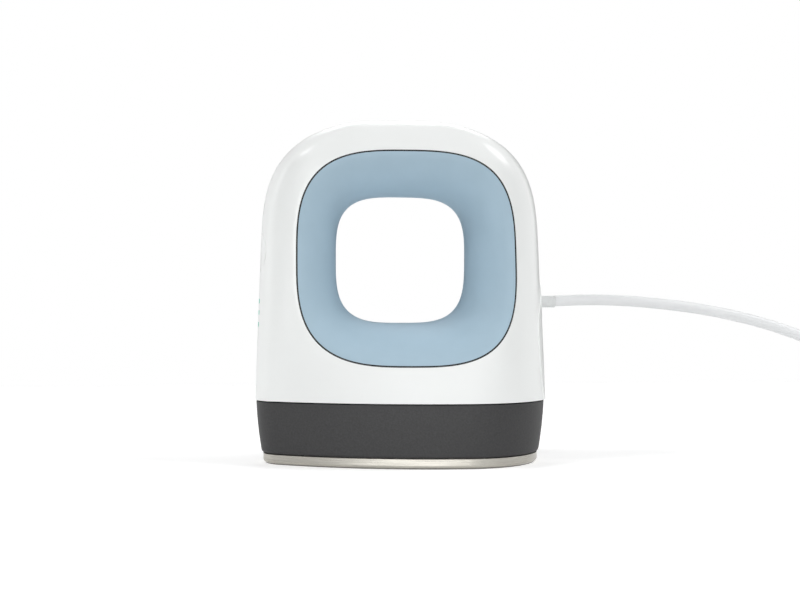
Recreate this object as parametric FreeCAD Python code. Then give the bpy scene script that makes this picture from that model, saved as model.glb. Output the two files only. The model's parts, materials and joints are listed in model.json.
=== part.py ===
"""Mini handheld heat press: a small iron-shaped press with a ring handle, built as separate pieces.

Frame: millimetres, +Z up, origin on the work surface under the middle of the body.
The nose (power button and lights) points to -X, the heel (power cord) to +X, the front face to -Y.
"""

import FreeCAD, Part
import math
import os

V = FreeCAD.Vector
X_AXIS = V(1, 0, 0)
Y_AXIS = V(0, 1, 0)
Z_AXIS = V(0, 0, 1)
FAR = 400.0  # half size of the blocks that cut a shape in two

# ---------------------------------------------------------------- driving dimensions
# heat plate outline: three arcs, a round heel, a small nose and two long flanks
plate_length = 82.6
plate_width = 48.7
plate_nose_radius = 9.0
body_overhang = 2.4  # the body's widest outline stands this far outside the plate

# heights above the work surface
coating_thickness = 0.3
plate_flange_top = 2.9  # the part of the plate that shows below the skirt
plate_top = 6.0
skirt_bottom = 3.1
skirt_top = 18.3
seam_height = 18.7  # bottom edge of the white shells
total_height = 102.6

# body surface
side_lean = 0.035  # how much the nose and heel lean in, per millimetre of height
top_depth = 14.6  # half depth that the faces lean in to at the top
face_curve = 1.9  # how quickly the faces lean in
upper_nose_radius = 12.0
arch_start = total_height - 39.8  # above this height the silhouette rounds over
arch_across = 2.5
arch_up = 3.36
crown_start = total_height - 16.6  # above this height the faces round over the top
crown_curve = 2.2

# ring handle: its heights are shares of the shells' height
shell_height = total_height - seam_height
grip_height = seam_height + 0.5018 * shell_height  # centre of the finger hole
groove_reach = 31.9  # groove between white shell and blue grip, half length
groove_up = 0.3705 * shell_height
groove_down = 0.3784 * shell_height
groove_square = 3.1
throat_reach = 19.75  # finger hole, half length
throat_up = 0.2235 * shell_height
throat_down = 0.2300 * shell_height
throat_square = 3.4
groove_width = 0.5
seal_recess = 0.1

# walls and clearances
shell_wall = 2.0
skirt_wall = 2.0
flange_wall = 1.5  # inner flange of the shell that the grip liner snaps on
flange_reach = 5.0  # how far the flange goes in under the liner
flange_overlap = 3.0
liner_gap = 0.2
running_gap = 0.2
loose_gap = 0.3
seat_gap = 0.05
hole_gap = 0.4  # clearance hole round a screw's shank
past = 1.0  # how far a cutter runs past a face that it opens

# skirt deck and neck
skirt_foot_out = 0.4  # the skirt's foot stands this far outside the plate
skirt_top_inset = 0.3  # its top edge stands this far inside the shells
skirt_bulge = 0.25  # how far its side swells out halfway up
skirt_foot_round = 1.1
deck_thickness = 2.0
neck_height = 1.9
neck_wall = 1.4

# screws: a plain shank stands for each thread
screw_shank = 1.2
screw_head = 2.5
screw_head_height = 1.8
small_shank = 0.85
small_head = 2.0
small_head_height = 1.4
driver_slot = 0.8

# bosses that join the shells to the skirt and to each other
shell_boss_radius = 3.8
shell_boss_height = 8.0
deck_pad_radius = 2.6
deck_screw_length = 7.5
nose_boss_offset = 3.0  # the nose bosses stand this far beyond the nose mount
heel_boss_swing = 48.0  # degrees round the heel
corner_boss_radius = 2.6
corner_swing = 48.0  # degrees up from level, as seen from the hole's centre
corner_seat_depth = 2.0
corner_thread = 5.5

# heating element and what lies over it
element_radius = 3.0
element_bend = 12.0
element_bend_x = plate_length / 2 - 27.3
element_end_x = 28.3 - plate_length / 2
element_rise = 5.0
element_height = 7.2
terminal_radius = 1.2
terminal_top = 20.6
terminal_gap = 0.8  # hole round the element where it turns up
sleeve_radius = 2.4
sleeve_rise = 0.6  # how far the sleeves stand above the deck
plate_edge_radius = 0.8
core_gap = 1.2  # between the plate's core and the skirt's wall
clamp_thickness = 1.0
clamp_post_radius = 3.4
clamp_post_x = (element_end_x + 9.0, element_bend_x - 2.0)
clamp_pilot_depth = 5.0
clamp_screw_length = 4.5
window_margin = 5.5
window_half_width = 7.5
mica_thickness = 0.3
pad_thickness = 1.9
pad_gap = 1.6  # between the pad's edge and the shield's rim
shield_thickness = 0.5
shield_height = 13.7
shield_rim = 1.6
shield_gap = 1.0  # between the shield's rim and the skirt's wall
mount_boss_radius = 4.0
mount_boss_top = 10.0
mount_pilot_depth = 6.0
mount_thread = 5.0
nose_mount_x = 14.3 - plate_length / 2
heel_mount_x = plate_length / 2 - 8.3
sensor_side = 5.6
sensor_offset = 2.0  # from the nose-side clamp post
fuse_radius = 1.7
fuse_length = 10.0
bead_radius = 1.2
bead_length = 6.0
sensor_wire = 0.5
slot_offset = 3.8  # the slot's middle, from the sensors' ends
slot_half_length = 1.75
slot_half_width = 6.2
heel_mount_y = 9.0
standoff_radius = 3.2

# power button, switch and lights at the nose
button_height = 62.6
button_radius = 5.75
button_travel = 0.6
button_depth = 3.9
ear_reach = 7.4
ear_half_width = 2.5
ear_thickness = 1.2
plunger_radius = 1.7
plunger_length = 1.8
travel_margin = 0.2
switch_size = 6.0
switch_depth = 3.4
light_heights = (button_height - 21.5, button_height - 18.0, button_height - 14.6)
light_size = (1.3, 4.4)  # height and width
led_size = (1.2, 3.2)
led_depth = 0.8
nose_board_thickness = 1.2
nose_board_half_width = 6.0
nose_board_bottom = light_heights[0] - 5.1
nose_board_top = button_height + 8.9
nose_board_screw_inset = 2.5
mast_thickness = 1.8
mast_half_width = 4.0
mast_foot_thickness = 2.0
mast_foot_reach = 3.4  # from the mast to its foot's screw
mast_foot_margin = 1.9
ribbon_width = 2.0
ribbon_thickness = 1.0

# main board
board_height = 23.0
board_thickness = 1.6
board_inset = 5.3
board_nose_x = 28.3 - plate_length / 2
board_heel_x = plate_length / 2 - 16.3
board_post_inset = 4.5  # from the board's ends
board_post_side = 4.0  # from the board's long edges
board_post_radius = 2.8

# parts on the main board: middle x and y, length, width, height
TERMINAL_BLOCK = (board_heel_x - 4.5, 0.0, 8.0, 11.0, 10.0)
FILM_CAPACITOR = (board_heel_x - 10.5, 10.2, 12.0, 6.0, 8.5)
SUPPLY_MODULE = (board_heel_x - 16.5, -1.5, 14.0, 12.0, 10.5)
MICROCONTROLLER = (board_nose_x + 8.0, -2.0, 7.0, 7.0, 1.4)
TRIAC = (board_nose_x + 14.0, 8.4, 10.0, 2.0, 7.5)
triac_legs = 2.0  # height of the triac over the board
triac_leg = 0.8
triac_leg_pitch = 2.6
heatsink_plate = 1.2
heatsink_fin = (1.0, 2.4)  # thickness and depth
heatsink_fins = 4
heatsink_margin = 1.0  # the heatsink is longer than the triac by this at each end
motion_sensor_spot = (board_nose_x + 6.5, -9.0)
motion_sensor_radius = 2.3
motion_sensor_height = 5.5
board_fuse_spot = (board_heel_x - 16.0, -12.5)
board_fuse_length = 20.0
board_fuse_radius = 2.3
board_fuse_cap = 2.6
board_fuse_cap_length = 5.0
board_fuse_height = 3.6  # its axis over the board
clip_half_width = 1.6
clip_wall = 0.6
clip_mouth = 1.9
contact_side = 2.6  # the terminal block's two contacts, from its middle
contact_radius = 1.4
contact_depth = 3.0
heater_wire = 0.9
mains_wire = 0.85

# cord outlet at the heel
cord_height = 48.0
cord_radius = 1.7
bezel_radius = 5.9
bezel_lip = 0.4
bezel_bore = 2.6
bezel_behind = 2.7  # how far the bush runs in behind the wall
bezel_flange = 1.2
dish_depth = 1.2
heel_panel_half_width = 11.8  # shallow raised panel under the cord outlet
heel_panel_top = cord_height + 1.8
heel_panel_raise = 0.25
boot_end_x = plate_length / 2 + 6.5
boot_radius = 1.8
relief_disc_radius = 4.6
relief_disc_length = 2.0

# cord, plug and coil
coil_x = 213.0
coil_mid_radius = 18.5
coil_layers = 4  # turns side by side and on top of each other
tie_width = 6.0
tie_thickness = 0.8
plug_length = 26.0
plug_half_width = 10.0
plug_half_height = 7.0
plug_corner = 2.5
plug_taper = 9.0  # length of the tapered part
plug_shoulder = (1.5, 1.0)  # step in width and height where the taper starts
plug_neck = 3.2
blade_length = 17.0
blade_spacing = 12.7
blade_height = 6.3
blade_thickness = 1.5
blade_hole_radius = 1.6
blade_hole_from_tip = 4.0

# cord route, hand set, from the boot to the coil (the surface is z = 0), and from the coil to the plug
CORD_ROUTE = [
    (boot_end_x, 0.0, cord_height + 0.2), (58.0, 0.0, cord_height + 0.8),
    (76.0, 0.0, cord_height + 0.1), (100.0, -1.0, cord_height - 2.8),
    (124.0, -4.0, cord_height - 9.4), (145.0, -9.0, cord_height - 20.0),
    (161.0, -14.0, 17.0), (175.0, -18.5, 8.0),
    (coil_x - 25.0, -22.0, 2.9), (coil_x - 11.0, -23.6, 1.75),
]
TAIL_ROUTE = [
    (coil_x - 11.0, 23.6, 11.9), (coil_x - 18.0, 24.2, 10.6),
    (coil_x - 24.5, 23.6, plug_half_height),
]

# ---------------------------------------------------------------- derived sizes
reach = plate_length / 2 + body_overhang
half_depth = plate_width / 2 + body_overhang
nose_radius = plate_nose_radius + body_overhang
deck_top = skirt_top
deck_bottom = deck_top - deck_thickness
clamp_bottom = element_height + element_radius + seat_gap
clamp_top = clamp_bottom + clamp_thickness
mica_bottom = clamp_top + seat_gap
pad_bottom = mica_bottom + mica_thickness + seat_gap
board_top = board_height + board_thickness
board_post_x = (board_nose_x + board_post_inset, board_heel_x - board_post_inset)
screw_pilot = screw_shank + seat_gap
screw_hole = screw_shank + hole_gap
small_pilot = small_shank + seat_gap
small_hole = small_shank + hole_gap
coil_half = coil_layers * cord_radius
coil_inner = coil_mid_radius - coil_half
coil_outer = coil_mid_radius + coil_half
virtual_bottom = -10.0  # the body form is closed down here, below the seam, and cut off at the seam

RING_STATIONS = 48
FACE_ANGLES = (90, 86, 81, 75, 68, 60, 50, 40, 30, 20, 10, 0)
LINER_STEPS = 8


# ---------------------------------------------------------------- plain solids
def block(x0, x1, y0, y1, z0, z1):
    return Part.makeBox(x1 - x0, y1 - y0, z1 - z0, V(x0, y0, z0))


def rod(centre, axis, radius, length):
    return Part.makeCylinder(radius, length, V(*centre), axis)


def tube(centre, axis, outer, inner, length):
    return rod(centre, axis, outer, length).cut(rod(centre, axis, inner, length))


def pan_screw(head_seat, down, shank, head, head_height, length):
    """A screw whose head's flat lies at head_seat; its shank runs along down."""
    seat = V(*head_seat)
    body = Part.makeCylinder(head, head_height, seat - down * head_height, down)
    body = body.makeFillet(head_height * 0.4, [top_edge(body, down)])
    slot = block(-head, head, -driver_slot / 2, driver_slot / 2, 0, head_height / 2)
    slot.Placement = FreeCAD.Placement(seat - down * head_height, FreeCAD.Rotation(Z_AXIS, down))
    return body.cut(slot).fuse(Part.makeCylinder(shank, length, seat, down))


def top_edge(cylinder, down):
    """The circle that lies furthest against down."""
    return min((e for e in cylinder.Edges if e.isClosed()), key=lambda e: e.CenterOfMass.dot(down))


def union(shapes):
    result = shapes[0]
    for shape in shapes[1:]:
        result = result.fuse(shape)
    return result


def cut_all(shape, tools):
    for tool in tools:
        shape = shape.cut(tool)
    return shape


# ---------------------------------------------------------------- plan outline
def arcs_of(length_half, width_half, tip):
    """Heel centre, tip centre, flank radius and the flank's end for a three-arc teardrop."""
    heel_centre = length_half - width_half
    tip_centre = tip - length_half
    run = heel_centre - tip_centre
    flank = (run * run + width_half ** 2 - tip * tip) / (2 * (width_half - tip))
    flank_end = tip_centre - run * tip / (flank - tip)
    return heel_centre, tip_centre, flank, flank_end


def half_width(x, length_half, width_half, tip):
    """Half width of the teardrop at x."""
    heel_centre, tip_centre, flank, flank_end = arcs_of(length_half, width_half, tip)
    if x > heel_centre:
        return math.sqrt(max(width_half ** 2 - (x - heel_centre) ** 2, 0))
    if x > flank_end:
        return width_half - flank + math.sqrt(flank ** 2 - (x - heel_centre) ** 2)
    return math.sqrt(max(tip ** 2 - (x - tip_centre) ** 2, 0))


def plan_half(x, inset):
    return half_width(x, reach - inset, half_depth - inset, nose_radius - inset)


def teardrop(inset, z):
    """The plan outline, offset inwards by inset, as a wire of tangent arcs at height z."""
    heel_centre, tip_centre, flank, flank_end = arcs_of(reach, half_depth, nose_radius)
    side = half_width(flank_end, reach, half_depth, nose_radius)
    towards = V(flank_end - tip_centre, side, 0).normalize()
    tip = V(tip_centre, 0, 0) + towards * (nose_radius - inset)
    flank_centre = V(heel_centre, half_depth - flank, 0)
    half_turn = (V(heel_centre, half_depth, 0) - flank_centre).getAngle(towards) / 2
    middle = flank_centre + V(-math.sin(half_turn), math.cos(half_turn), 0) * (flank - inset)
    shoulder = V(heel_centre, half_depth - inset, 0)
    heel = V(reach - inset, 0, 0)
    nose = V(inset - reach, 0, 0)
    edges = [Part.Arc(mirror_y(tip), nose, tip).toShape(), Part.Arc(tip, middle, shoulder).toShape()]
    edges.append(Part.Arc(shoulder, heel, mirror_y(shoulder)).toShape())
    edges.append(Part.Arc(mirror_y(shoulder), mirror_y(middle), mirror_y(tip)).toShape())
    wire = Part.Wire(edges)
    wire.translate(V(0, 0, z))
    return wire


def mirror_y(p):
    return V(p.x, -p.y, p.z)


def slab(inset, z0, z1):
    return Part.Face(teardrop(inset, z0)).extrude(V(0, 0, z1 - z0))


def tapered(inset0, z0, inset1, z1):
    return Part.makeLoft([teardrop(inset0, z0), teardrop(inset1, z1)], True, True)


# ---------------------------------------------------------------- body form
def level_sizes(z, inset):
    """Half length, half depth and nose radius of the body's level section at height z."""
    z = max(z, seam_height - 5)
    rise = (z - seam_height) / (total_height - seam_height)
    lean = 1 - max(1 - rise, 0) ** face_curve
    blunt = min(max(2 * rise, 0), 1)
    length_half = reach - side_lean * (z - seam_height) - inset
    width_half = half_depth - (half_depth - top_depth) * lean - inset
    return length_half, width_half, nose_radius + (upper_nose_radius - nose_radius) * blunt - inset


def arch(z, inset):
    """How far the rounded silhouette draws the section's length in at height z, 1 to 0."""
    up = (z - arch_start) / (total_height - inset - arch_start)
    return max(1 - min(max(up, 0), 1) ** arch_up, 0) ** (1 / arch_across)


def crown(z, inset):
    """How far the rounded top draws the section's depth in at height z, 1 to 0."""
    up = (z - crown_start) / (total_height - inset - crown_start)
    return max(1 - min(max(up, 0), 1) ** crown_curve, 0) ** (1 / crown_curve)


def face_depth(x, z, inset):
    """Distance of the body's face from the middle plane at x, z."""
    narrow = arch(z, inset)
    if narrow < 1e-9:
        return 0.0
    return crown(z, inset) * half_width(x / narrow, *level_sizes(z, inset))


def squircle(turn, half_x, up, down, power):
    """Distance from the centre to a squared-off ellipse, at angle turn."""
    half_z = up if math.sin(turn) > 0 else down
    across = abs(math.cos(turn) / half_x) ** power + abs(math.sin(turn) / half_z) ** power
    return across ** (-1 / power)


def groove_radius(turn):
    return squircle(turn, groove_reach, groove_up, groove_down, groove_square)


def throat_radius(turn):
    return squircle(turn, throat_reach, throat_up, throat_down, throat_square)


def silhouette_radius(turn, inset):
    """Distance from the hole's centre to the silhouette, closed below by a soft virtual bottom."""
    low, high = 10.0, 2 * total_height
    for _ in range(60):
        r = (low + high) / 2
        x, z = r * math.cos(turn), grip_height + r * math.sin(turn)
        side = abs(x) / level_sizes(z, inset)[0]
        if z > arch_start:
            out = side ** arch_across + ((z - arch_start) / (total_height - inset - arch_start)) ** arch_up
        else:
            out = side ** arch_across + ((arch_start - z) / (arch_start - virtual_bottom)) ** 12
        if out > 1:
            high = r
        else:
            low = r
    return low


def at(turn, r):
    return r * math.cos(turn), grip_height + r * math.sin(turn)


def closed_curve(points):
    count = len(points)
    curve = Part.BSplineCurve()
    steps = [i / count for i in range(count + 1)]
    curve.interpolate(Points=points, PeriodicFlag=True, Parameters=steps)
    return Part.Wire([curve.toShape()])


def face_ring(turns, angle, inset):
    """One ring of the white face: angle 90 is the silhouette, 0 is the groove."""
    out = math.sin(math.radians(angle))
    points = []
    for turn in turns:
        start = groove_radius(turn)
        x, z = at(turn, start + (silhouette_radius(turn, inset) - start) * out)
        below = min(max((seam_height - 2.5 - z) / 12, 0), 1)
        below = below * below * (3 - 2 * below)
        depth = face_depth(x, z, inset) * (1 - below + below * math.sqrt(1 - out ** 4))
        points.append(V(x, 0 if angle == 90 else -depth, z))
    return points


def liner_ring(turns, step, inset):
    """One ring of the blue grip: a cubic from the groove, tangent to the white face, to the throat."""
    t = step / LINER_STEPS
    weights = ((1 - t) ** 3, 3 * t * (1 - t) ** 2, 3 * t * t * (1 - t), t ** 3)
    points = []
    for turn in turns:
        start = groove_radius(turn)
        end = throat_radius(turn) + inset
        depth = face_depth(*at(turn, start), inset)
        slope = (depth - face_depth(*at(turn, start + 0.05), inset)) / 0.05
        pull = 0.28 * (start - end)
        across = (start, start - pull, end, end)
        deep = (depth, depth + slope * pull, 0.62 * depth, 0)
        x, z = at(turn, sum(w * a for w, a in zip(weights, across)))
        points.append(V(x, -sum(w * d for w, d in zip(weights, deep)), z))
    return points


def body_form(inset):
    """Front half (y < 0) of the ring-shaped body, drawn in by inset, as one smooth solid."""
    turns = [2 * math.pi * (i + 0.5) / RING_STATIONS for i in range(RING_STATIONS)]
    rings = [face_ring(turns, angle, inset) for angle in FACE_ANGLES]
    rings += [liner_ring(turns, step, inset) for step in range(1, LINER_STEPS + 1)]
    skin = Part.makeLoft([closed_curve(r) for r in rings], False, False)
    rims = [Part.Wire([e]) for e in skin.Edges if e.isClosed()]
    back = Part.makeFace(rims, "Part::FaceMakerBullseye")
    solid = Part.Solid(Part.Shell(skin.Faces + back.Faces))
    if solid.Volume < 0:
        solid.reverse()
    return solid


def cavity_form(inset):
    """The body form with its flat back carried past the middle plane, so that it opens that side."""
    form = body_form(inset)
    flat = [f for f in form.Faces if f.Surface.TypeId == "Part::GeomPlane"][0]
    return [form, flat.extrude(V(0, 3, 0))]


def ring_prism(offset):
    """Everything inside the groove's outline moved out by offset, all through the body."""
    turns = [2 * math.pi * (i + 0.5) / RING_STATIONS for i in range(RING_STATIONS)]
    points = [at(t, groove_radius(t) + offset) for t in turns]
    wire = closed_curve([V(x, -FAR / 4, z) for x, z in points])
    return Part.Face(wire).extrude(V(0, FAR / 2, 0))


def above(z):
    return block(-FAR, FAR, -FAR, FAR, z, z + FAR)


def below(z):
    return block(-FAR, FAR, -FAR, FAR, z - FAR, z)


def to_rear(shape):
    return shape.mirror(V(0, 0, 0), Y_AXIS)


# ---------------------------------------------------------------- where things stand
def nose_x(z, inset=0.0):
    return -level_sizes(z, inset)[0] * arch(z, inset)


def heel_x(z, inset=0.0):
    return -nose_x(z, inset)


def shell_boss_spots():
    """Front-half screw bosses: one on the flank near the nose, one at the heel."""
    heel_centre = arcs_of(reach, half_depth, nose_radius)[0]
    swing = math.radians(heel_boss_swing)
    inset = room_inset(deck_bottom - screw_head_height) + screw_head + loose_gap
    radius = half_depth - inset
    x = nose_mount_x - nose_boss_offset
    nose_spot = (x, -plan_half(x, inset))
    heel_spot = (heel_centre + radius * math.cos(swing), -radius * math.sin(swing))
    return [nose_spot, heel_spot]


def all_boss_spots():
    return shell_boss_spots() + [(x, -y) for x, y in shell_boss_spots()]


def mount_spots():
    return [(nose_mount_x, 0), (heel_mount_x, heel_mount_y), (heel_mount_x, -heel_mount_y)]


def terminal_spots():
    return [(element_end_x - element_rise, side * element_bend) for side in (-1, 1)]


def board_spots():
    inset = board_inset + board_post_side
    return [(x, side * plan_half(x, inset)) for x in board_post_x for side in (-1, 1)]


# ---------------------------------------------------------------- white shells, grip, seals
def white_shell(form, mid, raised, inner_flange, hollow, deep):
    """Front shell: the white face outside the groove and the flange that carries the grip."""
    edge = ring_prism(groove_width / 2)
    lap = ring_prism(flange_overlap)
    outside = form.cut(edge).fuse(heel_panel(raised))
    flange = inner_flange.common(lap)
    shell = outside.fuse(flange)
    shell = cut_all(shell, [part.cut(lap) for part in hollow] + [part.common(lap) for part in deep])
    shell = shell.cut(ring_prism(-flange_reach)).cut(below(seam_height))
    for spot in shell_boss_spots():
        boss = rod((*spot, seam_height), Z_AXIS, shell_boss_radius, shell_boss_height).common(mid)
        hole = rod((*spot, seam_height - past), Z_AXIS, screw_pilot, shell_boss_height)
        shell = shell.fuse(boss).cut(hole)
    return shell


def heel_panel(raised):
    """The shallow raised panel on the heel, arched over the cord outlet."""
    w = heel_panel_half_width
    x = heel_x(cord_height, 2 * shell_wall)
    centre = heel_panel_top - w
    arched = block(x - w, x + FAR, -w, w, 0, centre).fuse(rod((x - w, 0, centre), X_AXIS, w, FAR))
    return raised.common(arched).cut(below(seam_height)).cut(ring_prism(groove_width))


def shell_openings():
    """Holes through the joined shells: power button, three lights and the cord bezel."""
    x = nose_x(button_height) - 5
    holes = [rod((x, 0, button_height), X_AXIS, button_radius + running_gap, 10)]
    for height in light_heights:
        tall, wide = light_size
        gap = seat_gap
        holes.append(block(x, x + 10, -wide / 2 - gap, wide / 2 + gap,
                           height - tall / 2 - gap, height + tall / 2 + gap))
    holes.append(rod((heel_x(cord_height) - 6, 0, cord_height), X_AXIS, bezel_radius + seat_gap, 12))
    return holes


def grip_liner(form, hollow):
    """Front half of the blue grip: from the groove over the crest to the middle of the hole."""
    liner = form.common(ring_prism(-groove_width / 2))
    return cut_all(liner, hollow)


def groove_seal(sunk, flange_top):
    """Dark gasket in the groove, seated on the shell's flange."""
    band = ring_prism(groove_width / 2 - 0.01).cut(ring_prism(-groove_width / 2 + 0.01))
    return sunk.cut(flange_top).common(band)


def corner_screw_spots():
    """Two screws through the flanges at the upper corners of the ring, hidden under the grip."""
    spots = []
    for turn in (math.radians(corner_swing), math.pi - math.radians(corner_swing)):
        spots.append(at(turn, groove_radius(turn) - flange_reach / 2))
    return spots


def add_corner_bosses(front, rear, solid_under_flange):
    """Bosses that meet at the middle plane, with a screw seat in the rear flange."""
    rear_under = to_rear(solid_under_flange)
    for x, z in corner_screw_spots():
        front_boss = rod((x, -half_depth, z), Y_AXIS, corner_boss_radius, half_depth)
        rear_boss = rod((x, 0, z), Y_AXIS, corner_boss_radius, half_depth)
        front = front.fuse(front_boss.common(solid_under_flange))
        rear = rear.fuse(rear_boss.common(rear_under))
        front = front.cut(rod((x, -corner_thread - past, z), Y_AXIS, small_pilot, corner_thread + past))
        rear = rear.cut(rod((x, 0, z), Y_AXIS, small_hole, half_depth))
        rear = rear.cut(rod((x, corner_seat_y(x, z), z), Y_AXIS, small_head + loose_gap, half_depth))
    return front, rear


def corner_seat_y(x, z):
    return face_depth(x, z, shell_wall + liner_gap + flange_wall) - corner_seat_depth


def corner_screws():
    screws = []
    for x, z in corner_screw_spots():
        seat = corner_seat_y(x, z)
        screws.append(pan_screw((x, seat, z), V(0, -1, 0), small_shank, small_head,
                                small_head_height, seat + corner_thread))
    return Part.makeCompound(screws)


# ---------------------------------------------------------------- skirt
def room_inset(z):
    """How far inside the body's widest outline the skirt's inner wall stands at height z."""
    up = (z - skirt_bottom) / (skirt_top - skirt_bottom)
    return (body_overhang - skirt_foot_out) * (1 - up) + skirt_top_inset * up + skirt_wall


def skirt_form():
    """The skirt's outside: a little convex, with a rounded lower edge."""
    middle = (skirt_bottom + skirt_top) / 2
    levels = [(body_overhang - skirt_foot_out, skirt_bottom),
              (room_inset(middle) - skirt_wall - skirt_bulge, middle), (skirt_top_inset, skirt_top)]
    form = Part.makeLoft([teardrop(inset, z) for inset, z in levels], True, False)
    foot = [e for e in form.Edges if e.BoundBox.ZMax < skirt_bottom + seat_gap]
    return form.makeFillet(skirt_foot_round, foot)


def base_skirt():
    """Dark high-temperature skirt with its deck, the neck inside the shells and the board posts."""
    skirt = skirt_form()
    room = tapered(room_inset(skirt_bottom), skirt_bottom, room_inset(deck_bottom), deck_bottom)
    neck_out = half_depth - level_sizes(deck_top + neck_height, shell_wall)[1] + loose_gap
    neck = slab(neck_out, deck_top, deck_top + neck_height).cut(
        slab(neck_out + neck_wall, deck_top, deck_top + neck_height))
    skirt = skirt.cut(room).fuse(neck)
    for spot in board_spots():
        skirt = skirt.fuse(rod((*spot, deck_top), Z_AXIS, board_post_radius, board_height - deck_top))
        skirt = skirt.cut(rod((*spot, deck_top), Z_AXIS, small_pilot, board_height - deck_top))
    for spot in all_boss_spots():
        skirt = skirt.cut(rod((*spot, deck_top), Z_AXIS, shell_boss_radius + loose_gap, neck_height))
        skirt = skirt.fuse(rod((*spot, deck_top), Z_AXIS, deck_pad_radius, seam_height - deck_top))
        skirt = skirt.cut(through_deck(spot, screw_hole))
    for spot in mount_spots():
        skirt = skirt.cut(through_deck(spot, screw_hole))
    for spot in terminal_spots():
        skirt = skirt.cut(through_deck(spot, sleeve_radius + loose_gap))
    skirt = skirt.cut(through_deck((mast_screw_x(), 0), small_pilot))
    return skirt.cut(sensor_slot(deck_bottom - past, deck_top + past))


def through_deck(spot, radius):
    return rod((*spot, deck_bottom - past), Z_AXIS, radius, deck_thickness + 3 * past)


def sensor_slot(z0, z1):
    """Slot that the sensor leads rise through."""
    x = sensor_x() - slot_offset
    return block(x - slot_half_length, x + slot_half_length, -slot_half_width, slot_half_width, z0, z1)


# ---------------------------------------------------------------- plate and heater
def element_path():
    """Centre line of the U-shaped element, its two ends turned up."""
    y, z, end = element_bend, element_height, element_end_x
    k = element_rise
    edges = []
    for side in (-1, 1):
        corner = V(end - k * math.sin(math.pi / 4), side * y, z + k * (1 - math.cos(math.pi / 4)))
        start = V(end - k, side * y, z + k)
        rise = Part.Arc(start, corner, V(end, side * y, z)).toShape()
        leg = Part.makeLine(V(end, side * y, z), V(element_bend_x, side * y, z))
        edges.append((rise, leg))
    x = element_bend_x
    bend = Part.Arc(V(x, -y, z), V(x + y, 0, z), V(x, y, z)).toShape()
    return Part.Wire([edges[0][0], edges[0][1], bend, edges[1][1], edges[1][0]])


def sweep(path, start, direction, radius):
    ring = Part.Wire([Part.makeCircle(radius, start, direction)])
    return path.makePipeShell([ring], True, True)


def element_body(radius):
    start = V(element_end_x - element_rise, -element_bend, element_height + element_rise)
    return sweep(element_path(), start, Z_AXIS, radius)


def heat_plate():
    """Cast aluminium plate: visible flange, core under the element, posts and bosses."""
    flange = slab(body_overhang, coating_thickness, plate_flange_top)
    rim = [e for e in flange.Edges if abs(e.BoundBox.ZMax - coating_thickness) < 1e-4]
    flange = flange.makeFillet(plate_edge_radius, rim)
    plate = flange.fuse(slab(room_inset(skirt_bottom) + core_gap, coating_thickness, plate_top))
    plate = plate.cut(element_body(element_radius + seat_gap))
    for x in clamp_post_x:
        plate = plate.fuse(rod((x, 0, plate_top), Z_AXIS, clamp_post_radius, clamp_bottom - plate_top))
        pilot = (x, 0, clamp_bottom - clamp_pilot_depth)
        plate = plate.cut(rod(pilot, Z_AXIS, screw_pilot, clamp_pilot_depth))
    for spot in mount_spots():
        plate = plate.fuse(rod((*spot, plate_top), Z_AXIS, mount_boss_radius, mount_boss_top - plate_top))
        pilot = (*spot, mount_boss_top - mount_pilot_depth)
        plate = plate.cut(rod(pilot, Z_AXIS, screw_pilot, mount_pilot_depth))
    return plate


def ceramic_coating():
    return slab(body_overhang + plate_edge_radius, 0, coating_thickness)


def element_terminals():
    z = element_height + element_rise
    tall = terminal_top - z
    return Part.makeCompound([rod((*s, z), Z_AXIS, terminal_radius, tall) for s in terminal_spots()])


def terminal_sleeves():
    """Ceramic sleeves round the terminals where they pass the shield and the deck."""
    z = element_height + element_rise + seat_gap
    return Part.makeCompound([tube((*s, z), Z_AXIS, sleeve_radius, terminal_radius + seat_gap,
                                   deck_top + sleeve_rise - z) for s in terminal_spots()])


def stack_holes(spots_radius, clamp_radius, z0, z1):
    """Cutters for the holes that the layers over the plate share."""
    tall = z1 - z0
    holes = [rod((*s, z0), Z_AXIS, spots_radius, tall) for s in mount_spots()]
    holes += [rod((*s, z0), Z_AXIS, element_radius + terminal_gap, tall) for s in terminal_spots()]
    holes += [rod((x, 0, z0), Z_AXIS, clamp_radius, tall) for x in clamp_post_x]
    return holes + [sensor_slot(z0, z1)]


def clamp_outline(z0, z1):
    """Plan of the clamp over the element: two legs and the bend, as a stadium's heel half."""
    wide = element_bend + element_radius
    bar = block(element_end_x + 1.0, element_bend_x, -wide, wide, z0, z1)
    return bar.fuse(rod((element_bend_x, 0, z0), Z_AXIS, wide, z1 - z0))


def heater_clamp():
    plate = clamp_outline(clamp_bottom, clamp_top)
    holes = [rod((x, 0, clamp_bottom), Z_AXIS, screw_hole, clamp_thickness) for x in clamp_post_x]
    window = block(clamp_post_x[0] + window_margin, clamp_post_x[1] - window_margin,
                   -window_half_width, window_half_width, clamp_bottom, clamp_top)
    return cut_all(plate, holes + [window, sensor_slot(clamp_bottom, clamp_top)])


def clamp_screws():
    return Part.makeCompound([pan_screw((x, 0, clamp_top), V(0, 0, -1), screw_shank, screw_head,
                                        screw_head_height, clamp_screw_length) for x in clamp_post_x])


def mica_sheet():
    z0, z1 = mica_bottom, mica_bottom + mica_thickness
    return cut_all(clamp_outline(z0, z1), stack_holes(mount_boss_radius, screw_head + loose_gap, z0, z1))


def insulation_pad():
    z0, z1 = pad_bottom, pad_bottom + pad_thickness
    inset = shield_inset() + shield_thickness + pad_gap
    holes = stack_holes(mount_boss_radius + hole_gap, screw_head + loose_gap, z0, z1)
    return cut_all(slab(inset, z0, z1), holes)


def shield_inset():
    return room_inset(shield_height - shield_rim) + shield_gap


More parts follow.
